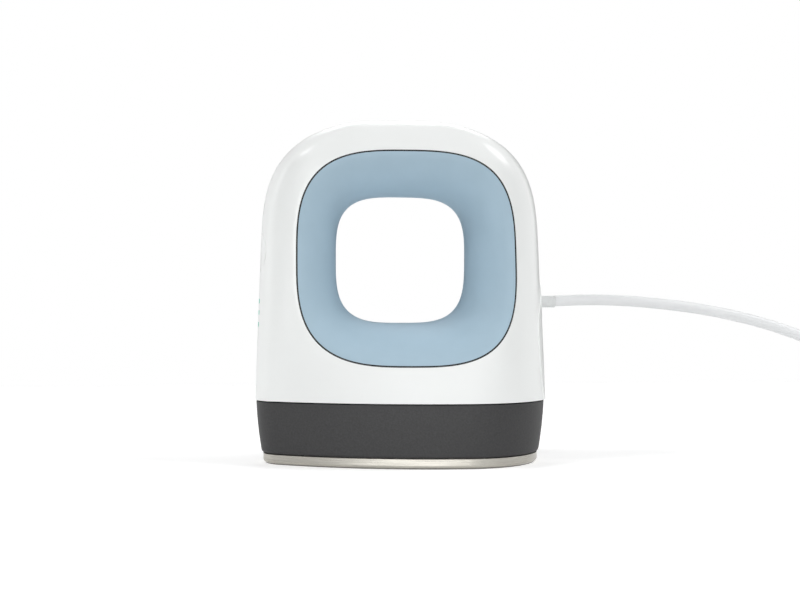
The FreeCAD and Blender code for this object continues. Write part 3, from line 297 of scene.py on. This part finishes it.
# %% Table of plain finishes
PLAIN = {
    # name: (colour, roughness, metallic, the grain's size and depth in millimetres)
    # the groove seal's near-black is painted shade: it stands in for the shadow in the thin gap between the
    # white shell and the blue grip
    "groove_seal": ("14171A", 0.60, 0.0, 0.4, 0.01),
    "ceramic_coat": ("8C8A86", 0.25, 0.0, 0.6, 0.004),
    "steel": ("B9BBBD", 0.30, 1.0, 0.3, 0.004),
    "element_sheath": ("8A857E", 0.42, 1.0, 0.4, 0.006),
    "white_ceramic": ("EAE6DC", 0.22, 0.0, 0.8, 0.004),
    "mica": ("C6B48C", 0.35, 0.0, 1.2, 0.01),
    "fibre_pad": ("EDEBE2", 0.90, 0.0, 0.25, 0.06),
    "board_green": ("1F6B3A", 0.38, 0.0, 0.5, 0.004),
    "black_part": ("1B1B1C", 0.50, 0.0, 0.3, 0.006),
    "led_body": ("F0F0E4", 0.20, 0.0, 0.5, 0.002),
    "grey_nylon": ("77797B", 0.55, 0.0, 0.4, 0.01),
    "ribbon": ("9B9DA0", 0.50, 0.0, 0.6, 0.01),
    "orange_film": ("B5531F", 0.25, 0.0, 0.8, 0.004),
    "terminal_green": ("2F7D46", 0.45, 0.0, 0.4, 0.006),
    "sensor_metal": ("B4B5B8", 0.35, 1.0, 0.3, 0.004),
    "lead_insulation": ("E2DED2", 0.55, 0.0, 0.4, 0.01),
    "blade_brass": ("D8B76A", 0.25, 1.0, 0.4, 0.003),
}


GRAIN_SHADE = 0.92  # how dark the colour gets in the grain
GRAIN_GLOSS = 0.1  # how far the roughness goes either way, as a share


def darker(hex_colour, share):
    return "".join(f"{int(int(hex_colour[i:i + 2], 16) * share):02X}" for i in (0, 2, 4))


def plain_finish(name, colour, roughness, metallic, grain_mm, depth_mm):
    material, shader = finish(name + "_finish", colour, roughness, Metallic=metallic)
    grain = noise(material, object_space(material), grain_mm)
    bump(material, shader, grain, depth_mm)
    tint(material, shader, spread(material, grain), darker(colour, GRAIN_SHADE), colour)
    rough = spread(material, grain, roughness * (1 - GRAIN_GLOSS), roughness * (1 + GRAIN_GLOSS))
    material.node_tree.links.new(rough, shader.inputs["Roughness"])
    return material


# %% [markdown]
# ## Lit light bars, glass, cord and strap
# The status lights are small teal bars lit from behind, so they glow a little. The fuse tube is glass, with
# a faint green cast that drifts. The cord and boot are soft PVC: light grey, with a low sheen and a fine
# drag grain from the extruder. The strap is hook-and-loop tape, whose loops scatter the light.

# %% Special finishes
def lit_bar():
    material, shader = finish("lit_teal_bar", "2FA88E", 0.3, IOR=1.49)
    shader.inputs["Emission Color"].default_value = linear("3CBFA4")
    shader.inputs["Emission Strength"].default_value = 0.25
    tint(material, shader, noise(material, object_space(material), 1.5, 1.0), "2BA187", "34B095")
    return material


def clear_glass():
    material, shader = finish("clear_glass", "FFFFFF", 0.05, IOR=1.5, Transmission_Weight=0.9)
    tint(material, shader, noise(material, object_space(material), 2.0, 1.0), "EAF4F0", "FFFFFF")
    return material


def soft_pvc(name, dark, light, roughness):
    material, shader = finish(name, light, roughness, IOR=1.53)
    where = object_space(material)
    bump(material, shader, noise(material, where, 0.6), 0.01)
    tint(material, shader, noise(material, where, 5.0, 1.0), dark, light)
    return material


def strap_tape():
    material, shader = finish("hook_and_loop_tape", "3F4042", 0.95, Sheen_Weight=0.4)
    loops = noise(material, object_space(material), 0.35, 4.0)
    bump(material, shader, loops, 0.15)
    tint(material, shader, spread(material, loops), "303133", "505254")
    return material


FINISHES = {name: plain_finish(name, *row) for name, row in PLAIN.items()}
FINISHES.update({
    "white_shell": white_abs(), "blue_grip": blue_grip(), "dark_skirt": textured_skirt(),
    "plate_metal": turned_aluminium(), "light_pipe": lit_bar(), "fuse_glass": clear_glass(),
    "cord_grey": soft_pvc("soft_pvc_cord", "E6E8E9", "EEEFF0", 0.42),
    "boot_grey": soft_pvc("soft_pvc_boot", "DDDFDF", "E4E6E6", 0.55), "tie_grey": strap_tape(),
})
print("finishes:", len(FINISHES))

# %% [markdown]
# ## Dress the CAD pieces
# The record names a material slot for every piece, so the finishes go on by that name. The CAD meshes
# keep their shape.

# %% Put the finishes on
def dress_cad_pieces():
    for part in frame["record"]["subparts"]:
        piece = frame["nodes"][part["node"]]
        piece.data.materials.clear()
        piece.data.materials.append(FINISHES[part["material_slot"]])


dress_cad_pieces()

# %% [markdown]
# ## The boot
# The strain relief is a soft PVC boot: a disc that sits behind the wall, a neck through the bush, and a
# short sleeve outside, no thicker than the cord. Its last millimetres have fine ribs that let it bend.
# It is round, so one half section, spun about the cord's axis, makes all of it.

# %% Spin the boot
CORD_HEIGHT = 48.0
BOOT_END_X = 47.8
BOOT_RADIUS = 1.8
NECK_END_X = 41.3
NECK_RADIUS = 2.5
DISC_LENGTH = 2.0
DISC_BREAK = 0.3  # bevel of its edges
NECK_BREAK = 0.3
END_BREAK = 0.2
RIBS = 4
RIB_PITCH = 0.6
RIB_GROOVE = ((0.0, 0.0), (0.1, 0.16), (0.2, 0.16), (0.3, 0.0))  # along and in
PLAIN_END = 0.35  # from the last rib to the end
ROUND_STEPS = 64
SMOOTH_ANGLE = math.radians(40.0)  # sharper edges than this stay crisp


def boot_section():
    """Half section as (x, radius), from the disc behind the wall to the rounded end."""
    disc_low, disc_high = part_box("strain_relief")
    inner = disc_low[0] / MM
    disc = (disc_high[2] - disc_low[2]) / 2 / MM
    outer = inner + DISC_LENGTH
    points = [(inner, 0.0), (inner, disc - DISC_BREAK), (inner + DISC_BREAK, disc),
              (outer - DISC_BREAK, disc), (outer, disc - DISC_BREAK), (outer, NECK_RADIUS),
              (NECK_END_X - NECK_BREAK, NECK_RADIUS), (NECK_END_X, BOOT_RADIUS)]
    for i in range(RIBS):
        start = BOOT_END_X - PLAIN_END - (RIBS - i) * RIB_PITCH
        points += [(start + along, BOOT_RADIUS - inwards) for along, inwards in RIB_GROOVE]
    return points + [(BOOT_END_X - END_BREAK, BOOT_RADIUS), (BOOT_END_X, BOOT_RADIUS - END_BREAK),
                     (BOOT_END_X, 0.0)]


def finish_piece(name, shape, slot):
    """Turns a bmesh into a piece that rides on the press."""
    bmesh.ops.remove_doubles(shape, verts=shape.verts, dist=1e-7)
    bmesh.ops.recalc_face_normals(shape, faces=shape.faces)
    mesh = bpy.data.meshes.new(name)
    shape.to_mesh(mesh)
    shape.free()
    mesh.shade_smooth()
    mesh.set_sharp_from_angle(angle=SMOOTH_ANGLE)
    mesh.materials.append(FINISHES[slot])
    piece = bpy.data.objects.new(name, mesh)
    bpy.context.scene.collection.objects.link(piece)
    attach(piece, "press")
    print(name, len(mesh.polygons), "faces")
    return piece


def make_boot():
    shape = bmesh.new()
    verts = [shape.verts.new((x * MM, 0.0, (CORD_HEIGHT + r) * MM)) for x, r in boot_section()]
    edges = [shape.edges.new(pair) for pair in zip(verts, verts[1:])]
    bmesh.ops.spin(shape, geom=verts + edges, cent=(0.0, 0.0, CORD_HEIGHT * MM), axis=(1.0, 0.0, 0.0),
                   angle=2 * math.pi, steps=ROUND_STEPS, use_merge=True)
    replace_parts(finish_piece("boot_sleeve", shape, "boot_grey"), "strain_relief")


make_boot()

# %% [markdown]
# ## The plug
# A two-pin plug is moulded on to the cord: a soft-edged block to hold, with finger grooves on both
# sides, and a tail that tapers to the cord. A cube does it: bevel the long edges, inset and extrude the
# rear face, then press the grooves in.

# %% Shape the plug
PLUG_X, PLUG_Y, PLUG_Z = TAIL_ROUTE[-1]
PLUG_SIZE = (17.0, 20.0, 14.0)
PLUG_CORNER = 2.5  # round of its long edges
PLUG_FRONT_ROUND = 0.8
PLUG_STEP = 0.4  # the rear face stands this far out inside its border
PLUG_BORDER = 1.2
PLUG_TAPER = 9.0
TAPER_RINGS = ((0.35, 0.86), (0.7, 0.55))  # how far along the taper, and the size against the ring before
PLUG_NECK = 2.6  # half width of the tail's thin end
GRIP_GROOVES = 3
GROOVE_PITCH = 3.2
GROOVE_WIDTH = 1.0
GROOVE_SLOPE = 0.25
GROOVE_DEPTH = 0.5


def flat_side(shape, axis, sign):
    """The faces that look along sign times the axis."""
    return [f for f in shape.faces if f.normal[axis] * sign > 0.99]


def groove_middles():
    return [(i - (GRIP_GROOVES - 1) / 2) * GROOVE_PITCH for i in range(GRIP_GROOVES)]


def plug_block():
    """The block that one holds, centred on the origin, with all its long and front edges round."""
    shape = bmesh.new()
    bmesh.ops.create_cube(shape, size=1.0)
    bmesh.ops.scale(shape, verts=shape.verts, vec=[c * MM for c in PLUG_SIZE])
    long_edges = [e for e in shape.edges if abs(e.verts[0].co.x - e.verts[1].co.x) > MM]
    bmesh.ops.bevel(shape, geom=long_edges, offset=PLUG_CORNER * MM, offset_type="OFFSET", affect="EDGES",
                    segments=5, profile=0.5, material=-1)
    front = flat_side(shape, 0, -1)[0]
    bmesh.ops.bevel(shape, geom=list(front.edges), offset=PLUG_FRONT_ROUND * MM, offset_type="OFFSET",
                    affect="EDGES", segments=3, profile=0.5, material=-1)
    return shape


def draw_tail(shape):
    """Steps the rear face out a little and draws it into a tail that ends as thin as the neck."""
    rear = flat_side(shape, 0, 1)
    bmesh.ops.inset_region(shape, faces=rear, thickness=PLUG_BORDER * MM, depth=PLUG_STEP * MM)
    rear = flat_side(shape, 0, 1)
    start = PLUG_SIZE[0] / 2 + PLUG_STEP
    for far, share in TAPER_RINGS + ((1.0, None),):
        tip = bmesh.ops.extrude_face_region(shape, geom=rear)["geom"]
        bmesh.ops.delete(shape, geom=rear, context="FACES_ONLY")  # the old face would stay inside
        rear = [g for g in tip if isinstance(g, bmesh.types.BMFace)]
        verts = list({v for f in rear for v in f.verts})
        for vert in verts:
            vert.co.x = (start + (PLUG_TAPER - PLUG_STEP) * far) * MM
        if share:
            size = (1.0, share, share)
        else:
            size = (1.0, PLUG_NECK * MM / max(abs(v.co.y) for v in verts),
                    PLUG_NECK * MM / max(abs(v.co.z) for v in verts))
        bmesh.ops.scale(shape, verts=verts, vec=size)


def press_grooves(shape):
    """Cuts the block across at each groove's edges, then presses the strips in on both sides."""
    for middle in groove_middles():
        for x in (middle - GROOVE_WIDTH / 2, middle + GROOVE_WIDTH / 2):
            everything = shape.verts[:] + shape.edges[:] + shape.faces[:]
            bmesh.ops.bisect_plane(shape, geom=everything, dist=1e-7, plane_co=(x * MM, 0.0, 0.0),
                                   plane_no=(1.0, 0.0, 0.0))
    for side in (-1, 1):
        for middle in groove_middles():
            strip = [f for f in flat_side(shape, 1, side)
                     if abs(f.calc_center_median().x - middle * MM) < GROOVE_WIDTH / 2 * MM]
            bmesh.ops.inset_region(shape, faces=strip, thickness=GROOVE_SLOPE * MM,
                                   depth=-GROOVE_DEPTH * MM)


def make_plug():
    shape = plug_block()
    draw_tail(shape)
    press_grooves(shape)
    middle_x = PLUG_X - PLUG_TAPER - PLUG_SIZE[0] / 2
    bmesh.ops.translate(shape, verts=shape.verts, vec=(middle_x * MM, PLUG_Y * MM, PLUG_Z * MM))
    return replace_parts(finish_piece("plug_skin", shape, "cord_grey"), "plug_body")


plug = make_plug()

# %% Finish the cord, let it ride on the press and hide the CAD pieces it replaces
cord.data.materials.append(FINISHES["cord_grey"])
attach(cord, "press")
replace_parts(cord, "mains_cord", "cord_coil", "plug_tail")

# %% [markdown]
# ## Table, background and light
# The object sits on a white table against white. The table is matt paper, lit like the object, with a
# little glow added for the camera and for reflections. The glow lifts it to plain white, level with the
# background, and is weak enough to leave the press its soft shadow.

# %% Stage
PAPER = "F4F4F4"
PAPER_GLOW = 0.375  # the lit paper shows 0.7 to 0.8 of white by itself
TABLE_HALF = 0.4
ROOM_FRONT = 0.1  # most light comes from the soft boxes
ROOM_BACK = 0.15
WHITE = (1.0, 1.0, 1.0, 1.0)


def backdrop_rays(owner):
    """1 for the rays that show the background: from the camera, off a mirror or through glass."""
    rays = add_node(owner, "ShaderNodeLightPath")
    seen = rays.outputs["Is Camera Ray"]
    for kind in ("Is Glossy Ray", "Is Transmission Ray"):
        seen = add_node(owner, "ShaderNodeMath", {"operation": "MAXIMUM"}, None,
                        {0: seen, 1: rays.outputs[kind]}).outputs[0]
    return seen


def white_paper():
    material, shader = finish("white_paper", PAPER, 1.0, Specular_IOR_Level=0.0)
    glow = add_node(material, "ShaderNodeMath", {"operation": "MULTIPLY"}, {1: PAPER_GLOW},
                    {0: backdrop_rays(material)})
    shader.inputs["Emission Color"].default_value = WHITE
    material.node_tree.links.new(glow.outputs[0], shader.inputs["Emission Strength"])
    return material


def make_table():
    shape = bmesh.new()
    bmesh.ops.create_grid(shape, x_segments=1, y_segments=1, size=TABLE_HALF)
    mesh = bpy.data.meshes.new("table")
    shape.to_mesh(mesh)
    shape.free()
    mesh.materials.append(white_paper())
    table = bpy.data.objects.new("table", mesh)
    bpy.context.scene.collection.objects.link(table)


def make_world():
    world = bpy.data.worlds.new("studio")
    world.use_nodes = True
    bpy.context.scene.world = world
    light = world.node_tree.nodes["Background"]
    light.inputs["Color"].default_value = WHITE
    towards = add_node(world, "ShaderNodeTexCoord")
    depth = add_node(world, "ShaderNodeSeparateXYZ", None, None, {0: towards.outputs["Generated"]})
    level = add_node(world, "ShaderNodeMapRange", None,
                     {"From Min": -1.0, "From Max": 1.0, "To Min": ROOM_FRONT, "To Max": ROOM_BACK},
                     {"Value": depth.outputs["Y"]})
    world.node_tree.links.new(level.outputs["Result"], light.inputs["Strength"])
    backdrop = add_node(world, "ShaderNodeBackground", None, {"Color": WHITE, "Strength": 1.0})
    mix = add_node(world, "ShaderNodeMixShader", None, None,
                   {0: backdrop_rays(world), 1: light.outputs[0], 2: backdrop.outputs[0]})
    world.node_tree.links.new(mix.outputs[0], world.node_tree.nodes["World Output"].inputs["Surface"])


make_table()
make_world()

# %% [markdown]
# ## Flags
# White plastic in a white room looks flat. Photographers stand dark cards, called flags, beside the
# object, so that its sides shade off and bright metal gets darker ends. One stands low and behind, which
# draws a fine dark edge down both sides. The camera never sees them, and they throw no shadow on the
# table.

# %% Stand the flags
FLAGS = {
    # name: (angle from the front, distance, width, height)
    "nose_flag": (-66.0, 0.6, 0.62, 0.7),
    "heel_flag": (63.0, 0.6, 0.42, 0.7),
    "edge_flag": (164.0, 0.6, 0.87, 0.42),
}
FLAG_CLOTH, _ = finish("flag_cloth", "3A3A3A", 1.0)


def make_flag(name, angle, distance, width, height):
    turn = math.radians(angle)
    shape = bmesh.new()
    bmesh.ops.create_grid(shape, x_segments=1, y_segments=1, size=0.5)
    bmesh.ops.scale(shape, verts=shape.verts, vec=(width, height, 1.0))
    bmesh.ops.rotate(shape, verts=shape.verts, matrix=Matrix.Rotation(math.pi / 2, 3, "X"))
    bmesh.ops.translate(shape, verts=shape.verts, vec=(0.0, -distance, height / 2))
    bmesh.ops.rotate(shape, verts=shape.verts, matrix=Matrix.Rotation(turn, 3, "Z"))
    mesh = bpy.data.meshes.new(name)
    shape.to_mesh(mesh)
    shape.free()
    mesh.materials.append(FLAG_CLOTH)
    flag = bpy.data.objects.new(name, mesh)
    bpy.context.scene.collection.objects.link(flag)
    flag.visible_camera = False
    flag.visible_shadow = False


for name, row in FLAGS.items():
    make_flag(name, *row)

# %% [markdown]
# ## Soft boxes
# A large soft box in front lights the face, and a low strip under it puts a bright middle on the
# plate. Two boxes high up at the sides keep the shoulders clean. A tall box to each side, a little
# behind, brightens the nose and heel where they curve away, and one behind lights the finger hole.

# %% Lights
AT_BODY = (0.0, 0.0, 0.05)
AT_PLATE = (0.0, 0.0, 0.03)
LIGHTS = {
    # name: (place, aim, width, height, watts)
    "front_box": ((-0.05, -1.2, 0.40), AT_BODY, 0.8, 0.6, 2.3),
    "low_strip": ((-0.24, -1.2, 0.10), AT_PLATE, 0.95, 0.2, 3.9),
    "high_left_box": ((-0.8, -0.2, 0.90), AT_BODY, 0.5, 0.5, 5.6),
    "high_right_box": ((0.8, -0.2, 0.90), AT_BODY, 0.5, 0.5, 6.2),
    "nose_box": ((-1.1, 0.15, 0.35), AT_BODY, 0.35, 0.7, 1.4),
    "heel_box": ((1.0, 0.60, 0.35), AT_BODY, 0.35, 0.7, 0.5),
    "back_box": ((0.15, 0.90, 1.00), AT_BODY, 0.8, 0.5, 3.6),
}


def make_light(name, place, aim, width, height, watts):
    data = bpy.data.lights.new(name, "AREA")
    data.shape = "RECTANGLE"
    data.size = width
    data.size_y = height
    data.energy = watts
    lamp = bpy.data.objects.new(name, data)
    bpy.context.scene.collection.objects.link(lamp)
    lamp.location = place
    lamp.rotation_mode = "QUATERNION"
    lamp.rotation_quaternion = (Vector(aim) - Vector(place)).to_track_quat("-Z", "Y")


for name, row in LIGHTS.items():
    make_light(name, *row)
bpy.context.scene.view_settings.view_transform = "Standard"
